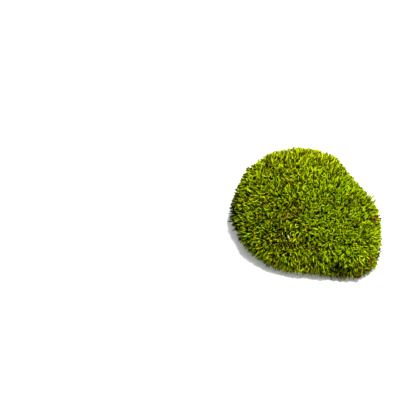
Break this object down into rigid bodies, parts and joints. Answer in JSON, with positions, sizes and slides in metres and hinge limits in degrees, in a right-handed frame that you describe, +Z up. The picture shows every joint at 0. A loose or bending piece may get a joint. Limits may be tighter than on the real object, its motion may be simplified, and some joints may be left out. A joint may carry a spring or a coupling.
{
  "type": "moss clump",
  "caption": "Rounded cushion of moss with short upright shoots, cut off flat at its base to rest on a surface, with bits of dry litter caught in it.",
  "frame": {"origin": "middle of the object's extent on the plane of its cut base", "axes": "+Z up out of the cut base; +X towards the right side, +Y towards the back, seen from the side that the picture looks from"},
  "size_m": [0.1202, 0.1164, 0.0486],
  "materials": {
    "moss": "matte living moss, yellow-green tips over dark green and brown",
    "dry_litter": "dry orange-yellow needle",
    "straw": "dry pinkish-brown straw",
    "pale_litter": "dry pale leaf",
    "red_scale": "dry reddish bud scale",
    "bark": "dark brown bark"
  },
  "bodies": {
    "root": {"moss_cushion": "moss", "dry_needle": "dry_litter", "straw_curl": "straw", "pale_leaf": "pale_litter", "bud_scale": "red_scale", "bark_flake": "bark", "bark_crumb": "bark"}
  },
  "joints": []
}
